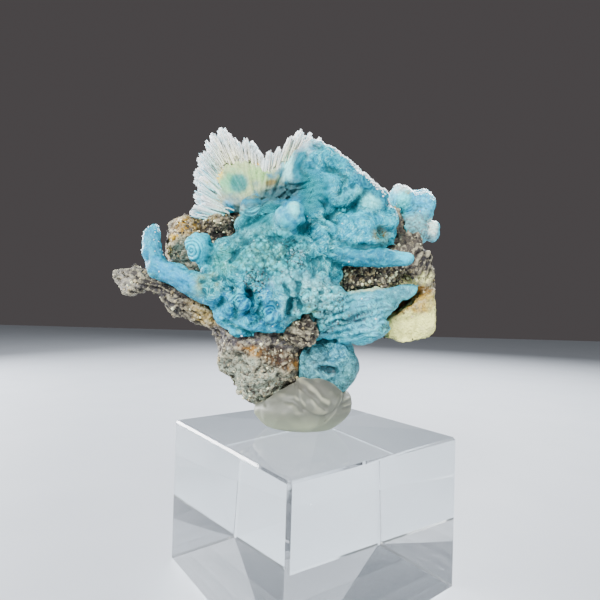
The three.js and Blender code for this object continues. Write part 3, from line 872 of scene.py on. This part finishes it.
# Knob behind the slab, and lobe under the wedge
knobSet = {
    "node": "gibbsite_knob", "name": "gibbsiteKnob", "slot": "pale_gibbsite",
    "voxel": 0.22, "smooth": 12, "beads": (2.2, 0.35), "fine": (0.6, 0.12), "grit": 0.25, "marbling": 0.3,
    "fray": 0.35, "base": "6cc4d6",
    "patches": [
        ("d8eef0", (19, 50.5), (2.2, 1.6), 30), ("6cc6e0", (22.4, 47.6), (2.2, 2.6)),
        ("a0dae4", (18.6, 47), (1.3, 2.4)), ("9ea8aa", (21.5, 42), (4.4, 2.6)),
        ("7c7c74", (21.5, 39.6), (2, 0.9)), ("d8d8d4", (25.4, 42), (1.2, 2)),
        ("b59a5c", (19.2, 48.9), (0.5, 0.5)),
    ],
}
lobeSet = {
    "node": "gibbsite_lower_lobe", "name": "gibbsiteLowerLobe", "slot": "teal_gibbsite",
    "voxel": 0.25, "smooth": 10, "beads": (2.8, 0.45), "fine": (1.1, 0.1), "grit": 0.4, "marbling": 0.45,
    "dent": ((2.8, 12.3), (1.8, 0.8), -8, 0.5), "dentDepth": 1.1,  # middle, half sizes, turn and softness
    "fray": 0.35, "base": "4c929c",
    "patches": [
        ("74a2aa", (0.6, 13), (2.8, 3)), ("2f92b2", (5, 16), (3, 1.6), 40),
        # the near-black patch in the dent is painted shade
        ("84b6b6", (6.8, 9.6), (1.6, 4), -10), ("0a1a20", (2.8, 12.3), (1.9, 0.9), -8),
        ("5c8a8e", (3.4, 8.6), (2.8, 1.4)),
    ],
}


def sculptGrowth(s, material):
    piece = copyNode(s["node"], s["name"])
    remesh(piece, s)
    co = places(piece)
    near = cellsAt(co, s["beads"][0], 1)
    tiny = cellsAt(co, s["fine"][0], 2)
    lift = (dome(near, 0.75) - 0.5) * s["beads"][1] + dome(tiny, 0.75) * s["fine"][1]
    if "dent" in s:
        lift = lift - s["dentDepth"] * patch(co, *s["dent"]) * (co[:, 1] < 1)
    co = raised(piece, co, lift)
    setPlaces(piece, co)
    even = np.ones(len(co))
    storeSkin(piece, paint(co, s, noiseAt(co, 1.3, 3)), relief=standOut(piece, 10) * 1.6,
              rings=near * s["beads"][0], banding=0.25 * even, grit=s["grit"] * even,
              marbling=s["marbling"] * even)
    finishPiece(piece, material, s["slot"], s["node"])
    return piece


knob = sculptGrowth(knobSet, knobSkin)
lobe = sculptGrowth(lobeSet, lobeSkin)
print("stage: knob and lobe", len(knob.data.polygons), len(lobe.data.polygons))


# Putty
puttySet = {
    "voxel": 0.2, "smooth": 20,
    # lighter towards the bottom as painted glow, darker at the top as painted shade
    "tint": "8c8f86", "lowGlowTint": "b8bcae", "topShadeTint": "7c7a72",
    "surface": {
        "Subsurface Weight": 0.5, "Subsurface Radius": (1, 1, 0.9), "Subsurface Scale": 0.0012,
        "Transmission Weight": 0.12,
    },
    "crown": ((1.6, 8.4), 4.2, 0.7),  # bulge under the lobe: middle, radius, rise
    "tuck": (4.5, 0.32),  # how high the underside starts, and how far it goes in
    # pressed folds, points in x and height: width, rise, and the cut just under the lip, mm
    "folds": [
        ([(-2.6, 9.8), (-1.0, 9.0), (0.5, 7.9), (1.6, 6.7), (2.6, 6.2)], 0.6, 0.5, 0.55),
        ([(-8.4, 5.8), (-6.4, 6.8), (-4.9, 7.0), (-3.2, 7.1), (-2.3, 6.6), (-1.5, 5.9)], 0.6, 0.35, 0.45),
        ([(-0.9, 7.3), (-1.3, 5.1), (-0.4, 2.4)], 1.5, -0.7, 0.0),
        ([(5.4, 7.4), (4.4, 5.2), (3.2, 3.4)], 0.35, 0.3, 0.35),
        ([(-5.2, 6.2), (-2.9, 4.9), (-1.4, 3.2)], 0.9, 0.4, 0.0),
        ([(6, 6.4), (7.6, 6.6)], 0.3, 0.2, 0.2), ([(6.2, 5.4), (7.8, 5.5)], 0.3, 0.2, 0.2),
        ([(0, 6.4), (2, 4.6)], 0.8, 0.3, 0.0),
    ],
}


def puttyMaterial(s):
    material, tree, shader, place = newMaterial("translucentPutty", s["surface"])
    soft = noiseFactor(tree, place, 180, 4)
    dust = noiseFactor(tree, place, 1500, 4)
    relief = attribute(tree, "relief")
    colour = layered(tree, linear(s["tint"]), [
        # painted glow towards the bottom, then painted shade at the top
        (attribute(tree, "warm"), linear(s["lowGlowTint"])),
        (attribute(tree, "high"), linear(s["topShadeTint"])),
        (mapRange(tree, soft, 0.3, 0.75, 0, 0.35), linear("94958e")),
        (mapRange(tree, dust, 0.68, 0.8, 0, 0.6), linear("6e685c")),
        (mapRange(tree, relief, 0, -0.14, 0, 0.4), linear("74756e")),  # painted shade in the folds, then painted highlight on their lips
        (mapRange(tree, relief, 0.03, 0.18, 0, 0.35), linear("dadad0")),
    ])
    tree.links.new(colour, shader["Base Color"])
    tree.links.new(mapRange(tree, soft, 0.3, 0.7, 0.45, 0.65), shader["Roughness"])
    addBump(tree, shader, dust, 0.0001, 0.35)
    return material


def pressPutty(s):
    piece = copyNode("mounting_putty", "puttyDab")
    remesh(piece, s)
    co = places(piece)
    front = ease(1, -3, co[:, 1])
    lift = 0.35 * noiseAt(co, 3.2, 1)
    place, radius, rise = s["crown"]
    lift = lift + rise * dome(farFrom(co, place) / radius) * front
    for line, width, rise, under in s["folds"]:
        lift = lift + 0.8 * rise * np.exp(-(strokeFar(co, line) / width) ** 2) * front
        below = strokeFar(co, [(x - 0.3, h - 1.1 * width) for x, h in line])
        lift = lift - 0.75 * under * np.exp(-(below / (0.7 * width)) ** 2) * front
    lift = lift * ease(0.4, 1.6, co[:, 2]) + 0.3 * ease(5, 7, co[:, 2])
    co = raised(piece, co, lift)
    co[:, 2] = np.maximum(co[:, 2], 0.3)
    # the dab is rounded under, down to the patch that it sticks by
    height, most = s["tuck"]
    tuck = 1 - most * np.clip(1 - co[:, 2] / height, 0, 1) ** 1.5
    middle = 0.5 * (co[:, :2].min(axis=0) + co[:, :2].max(axis=0))
    co[:, :2] = middle + (co[:, :2] - middle) * tuck[:, None]
    setPlaces(piece, co)
    # painted glow towards the bottom, then painted shade towards the top
    storeFloat(piece, "warm", ease(5, 0.5, co[:, 2]))
    storeFloat(piece, "high", 0.8 * ease(6.5, 9.5, co[:, 2]))
    storeFloat(piece, "relief", standOut(piece, 12))
    finishPiece(piece, puttyMaterial(s), "putty", "mounting_putty")
    return piece


putty = pressPutty(puttySet)
print("stage: putty", len(putty.data.polygons))


# Clear block: the CAD node keeps its shape
def blockMaterial():
    material, tree, shader, place = newMaterial("clearBlock", {
        "Base Color": (0.88, 0.94, 0.96, 1), "Transmission Weight": 1, "IOR": 1.49,
    })
    smears = noiseFactor(tree, place, 90, 5, 0.8)
    tree.links.new(mapRange(tree, smears, 0.45, 0.75, 0.015, 0.07), shader["Roughness"])
    shadow = node(tree, "ShaderNodeLightPath").outputs["Is Shadow Ray"]
    tree.links.new(mapRange(tree, shadow, 0, 1, 1, 0.15), shader["Alpha"])  # light reaches the floor under it
    return material


block = nodes["acrylic_block"]
block.data.materials.clear()
block.data.materials.append(blockMaterial())


# Many small things: one template, turned and set at each spot
def template(make):
    shape = bmesh.new()
    make(shape)
    mesh = bpy.data.meshes.new("template")
    bmesh.ops.recalc_face_normals(shape, faces=shape.faces)
    shape.to_mesh(mesh)
    shape.free()
    return mesh


def scatter(name, mesh, spots, along, sizes, tints, seed, smooth=False, grit=0.0, foot=None):
    # spots in mm above the block, along: the template's own z axis, sizes: (across, across, along) in mm
    # foot: the tint that each copy fades to at z = -1
    rng = np.random.default_rng(seed)
    count = len(spots)
    corners = np.array([v.co[:] for v in mesh.vertices])
    faces = [list(p.vertices) for p in mesh.polygons]
    axis = along / np.linalg.norm(along, axis=1)[:, None]
    side = np.cross(axis, rng.normal(size=(count, 3)))
    side /= np.linalg.norm(side, axis=1)[:, None]
    turn = np.stack([side, np.cross(axis, side), axis], 1)
    points = np.einsum("npk,nkj->npj", corners[None] * sizes[:, None, :], turn) + spots[:, None, :]
    points = points.reshape(-1, 3)
    points[:, 2] += topOfBlock
    result = bpy.data.meshes.new(name)
    step = len(corners)
    result.from_pydata((points * mm).tolist(), [],
                       [[i + n * step for i in face] for n in range(count) for face in faces])
    bpy.data.meshes.remove(mesh)
    piece = newObject(name, result)
    if smooth:
        smoothShade(result)
    tint = np.repeat(tints, step, axis=0)
    if foot is not None:
        fade = np.tile(np.clip(-corners[:, 2], 0, 1), count)[:, None]
        tint = blend(tint, np.repeat(foot, step, axis=0), fade)
    storeColour(piece, "tint", tint)
    storeFloat(piece, "grit", np.full(count * step, grit))
    return piece


# Fringe of needles: fine prisms that fan out from one root and reach the rim
fringeSet = {
    "root": (-11, 4, 40),
    "rim": [  # tips, x and height
        (-27, 42), (-25.8, 46.5), (-26, 51), (-25.5, 54), (-24, 57.5), (-22.3, 60.5), (-19.5, 61.2),
        (-16.8, 58.8), (-14.6, 59.6), (-12.2, 57.6), (-11, 56.6), (-8.5, 57.5), (-6.5, 58.2), (-4, 61.6),
        (-1.9, 60.9), (1.5, 59.5),
    ],
    "blades": {"count": 230, "width": (0.5, 1.0), "length": (3, 7), "seed": 5},
    "needles": {"count": 3600, "width": (0.14, 0.32), "length": (2, 6.5), "seed": 6},
    "depth": (-0.6, 8.2),
    "foot": "dce2d0", "blueFoot": "b4dce8",  # what the needles fade to at the body
}


def fringeTips(s, kind):
    rng = np.random.default_rng(kind["seed"])
    rim = np.array(s["rim"], float)
    steps = np.concatenate([[0], np.cumsum(np.linalg.norm(np.diff(rim, axis=0), axis=1))])
    spot = rng.uniform(0, steps[-1], kind["count"])
    depth = rng.uniform(*s["depth"], kind["count"])
    tips = np.stack([np.interp(spot, steps, rim[:, 0]), depth, np.interp(spot, steps, rim[:, 1])], 1)
    inward = np.array(s["root"]) - tips
    inward[:, 1] *= 0.35
    inward /= np.linalg.norm(inward, axis=1)[:, None]
    # the rim is highest in the middle of its depth, and its teeth rise and fall
    middle = sum(s["depth"]) / 2
    fall = 0.09 * (tips[:, 1] - middle) ** 2
    wave = spot * 1.1 + 0.8 * np.sin(spot * 0.7) + 1.2 * np.sin(tips[:, 1] * 0.6)
    teeth = 1.7 * np.abs(np.sin(wave)) ** 1.5
    tips += inward * (0.2 + fall + teeth + rng.exponential(0.5, kind["count"]))[:, None]
    spread = rng.normal(0, 0.06, tips.shape)
    return tips, inward + spread, rng


def growFringe(s, kind, name, sides, blunt):
    tips, inward, rng = fringeTips(s, kind)
    width = rng.uniform(*kind["width"], kind["count"])
    length = rng.uniform(*kind["length"], kind["count"])

    def make(shape):
        # a prism along z from -1 at its foot to 0 at its tip
        bmesh.ops.create_cone(shape, cap_ends=True, segments=sides, radius1=0.5, radius2=0.5, depth=1,
                              matrix=Matrix.Translation((0, 0, -0.5)))
        top = [v for v in shape.verts if v.co.z > -0.1]
        cap = [f for f in shape.faces if all(v in top for v in f.verts)]
        bmesh.ops.inset_region(shape, faces=cap, thickness=0.22, use_even_offset=True)
        inner = {v for f in cap for v in f.verts}
        bmesh.ops.translate(shape, verts=[v for v in top if v not in inner], vec=(0, 0, -blunt))
        bmesh.ops.delete(shape, geom=[f for f in shape.faces if all(v.co.z < -0.9 for v in f.verts)],
                         context="FACES_ONLY")

    mix = rng.uniform(0, 1, kind["count"])[:, None] ** 2.5
    tints = blend(np.array(linear("ffffff")), np.array(linear("9cc4d0")), mix)
    sizes = np.stack([width, width * rng.uniform(0.6, 1, kind["count"]), length], 1)
    blue = ease(-21, -25, tips[:, 0])[:, None]
    foot = blend(np.array(linear(s["foot"])), np.array(linear(s["blueFoot"])), blue)
    piece = scatter(name, template(make), tips, -inward, sizes, tints, kind["seed"], foot=foot)
    finishPiece(piece, needleSkin, "gibbsite")
    return piece


blades = growFringe(fringeSet, fringeSet["blades"], "fringeBlades", 6, 0.1)
needles = growFringe(fringeSet, fringeSet["needles"], "fringeNeedles", 5, 0.08)
print("stage: fringe", len(blades.data.polygons), len(needles.data.polygons))


# Grains and beads sit on the surfaces they grew on
def surfaceSpots(piece, cover, count, seed):
    co = places(piece)
    out = normals(piece)
    chance = cover(co, out)
    rng = np.random.default_rng(seed)
    pick = rng.choice(len(co), count, replace=False, p=chance / chance.sum())
    return co[pick], out[pick], rng


def crystalBall(shape):
    bmesh.ops.create_icosphere(shape, subdivisions=1, radius=0.5)


def sugarGrain(shape):
    bmesh.ops.create_cube(shape, size=0.8)
    bmesh.ops.bevel(shape, geom=list(shape.edges), offset=0.12, offset_type="OFFSET", segments=1, profile=0.5,
                    affect="EDGES", material=-1)


grainSet = {
    "rock": {"count": 3600, "size": (0.2, 0.75), "seed": 11,
             "tints": ["2a2522", "5d554f", "8f877c", "c8c0b0", "e4ded0", "a89c84", "191513", "6e665e"]},
    "druse": {"count": 1000, "size": (0.2, 0.42), "seed": 12,
              "tints": ["ffffff", "e8f6f8", "cdeaf0", "f4efe2"]},
    "beads": {"count": 420, "size": (0.35, 0.85), "seed": 13,
              "tints": ["6c787a", "a0c0c8", "343e40", "aecace", "80b0bc", "8c9c9c", "98b8b4", "485458"]},
}


def pickTints(rng, codes, count):
    colours = np.array([linear(code) for code in codes])
    return colours[rng.integers(0, len(codes), count)]


def addGrains(name, s, piece, cover, make, material, slot, sink=0.1, smooth=False):
    spots, out, rng = surfaceSpots(piece, cover, s["count"], s["seed"])
    size = s["size"][0] + (s["size"][1] - s["size"][0]) * rng.uniform(0, 1, s["count"]) ** 2
    sizes = size[:, None] * rng.uniform(0.75, 1.15, (s["count"], 3))
    spots = spots + out * (size * sink)[:, None]
    leaning = out + rng.normal(0, 0.5, out.shape)
    tints = pickTints(rng, s["tints"], s["count"])
    grains = scatter(name, template(make), spots, leaning, sizes, tints, s["seed"], smooth, 0.2)
    finishPiece(grains, material, slot)
    return grains


def rockCover(co, out):
    pocket = patch(co, (11, 31), (8.5, 3.4)) + 0.2 * patch(co, (-22, 39), (5, 4))
    cream = patch(co, (19.6, 22.2), (7, 7.5))
    return (0.16 + 2.5 * pocket * (out[:, 1] < 0)) * (1 - 0.95 * cream)


def druseCover(co, out):
    # the sharp upper edges of the slab and the fringe
    edge = patch(co, (8.5, 51), (12, 1.3), -42, soft=0.3) + 0.1 * patch(co, (-31, 36), (3, 3.4))
    return 0.0005 + edge * np.clip(np.abs(out[:, 0]) + out[:, 2], 0, 1) ** 3


def beadCover(co, out):
    front = np.clip(-out[:, 1], 0, 1)
    spots = [
        (0.5, (0.8, 24.2), (6, 5)), (3, (-10.8, 28.7), (2, 2)), (2.4, (-3.8, 33.2), (1.8, 1.8)),
        (0.12, (-7, 33), (6, 4)),
    ]
    return front * sum(weight * patch(co, *where) for weight, *where in spots)


addGrains("rockGrains", grainSet["rock"], rock, rockCover, sugarGrain, grainSurface, "rock")
addGrains("druseCrystals", grainSet["druse"], crust, druseCover, sugarGrain, needleSkin, "gibbsite")
addGrains("crustBeads", grainSet["beads"], crust, beadCover, crystalBall, gibbsiteSkin, "gibbsite",
          sink=-0.3, smooth=True)
addGrains("knobDruse", {**grainSet["druse"], "count": 130, "seed": 14}, knob,
          lambda co, out: 0.05 + np.clip(out[:, 2], 0, 1) ** 2 * (co[:, 2] > 47), sugarGrain, needleSkin,
          "pale_gibbsite")
print("stage: grains")


# Stage and light
stageSet = {
    "floor": 1.6, "back": 0.5,  # m
    "floorTint": (0.2, 0.215, 0.24), "floorShade": (0.23, 0.245, 0.27),
    "world": (0.42, 0.43, 0.45), "worldStrength": 0.7, "backdrop": (0.075, 0.068, 0.07),
    # name: place, size, power, colour; all look at the specimen
    "lamps": {
        "keyLight": ((-0.22, -0.36, 0.28), 0.16, 5.5, (1, 0.99, 0.97)),
        "fillLight": ((0.34, -0.3, 0.12), 0.3, 2.2, (0.96, 0.98, 1)),
        "backLight": ((0.12, 0.3, 0.3), 0.22, 9, (0.96, 0.98, 1)),
        "leftRim": ((-0.32, 0.18, 0.16), 0.16, 4.8, (0.97, 0.98, 1)),
    },
}


def buildStage(s):
    shape = bmesh.new()
    bmesh.ops.create_grid(shape, x_segments=1, y_segments=1, size=s["floor"] / 2)
    mesh = bpy.data.meshes.new("floor")
    shape.to_mesh(mesh)
    shape.free()
    floor = newObject("floor", mesh)
    material, tree, shader, place = newMaterial("paleFloor", {"Roughness": 0.7})
    grain = noiseFactor(tree, place, 40, 2)
    tree.links.new(mixColour(tree, grain, (*s["floorTint"], 1), (*s["floorShade"], 1)), shader["Base Color"])
    mesh.materials.append(material)
    world = bpy.data.worlds.new("studio")
    world.use_nodes = True
    sky = world.node_tree.nodes["Background"]
    sky.inputs["Color"].default_value = (*s["world"], 1)
    sky.inputs["Strength"].default_value = s["worldStrength"]
    # a plain dark backdrop, seen directly, sets off the pale rim
    behind = node(world.node_tree, "ShaderNodeBackground", {"Color": (*s["backdrop"], 1)})
    seen = node(world.node_tree, "ShaderNodeLightPath").outputs["Is Camera Ray"]
    mixed = node(world.node_tree, "ShaderNodeMixShader", {0: seen, 1: sky.outputs[0], 2: behind.outputs[0]})
    world.node_tree.links.new(mixed.outputs[0], world.node_tree.nodes["World Output"].inputs["Surface"])
    bpy.context.scene.world = world
    target = Vector((0, 0, 0.058))
    for name, (place, size, power, colour) in s["lamps"].items():
        data = bpy.data.lights.new(name, "AREA")
        data.size = size
        data.energy = power
        data.color = colour
        lamp = newObject(name, data)
        lamp.location = place
        lamp.rotation_euler = (target - Vector(place)).to_track_quat("-Z", "Y").to_euler()


buildStage(stageSet)
print("stage: floor and lights")
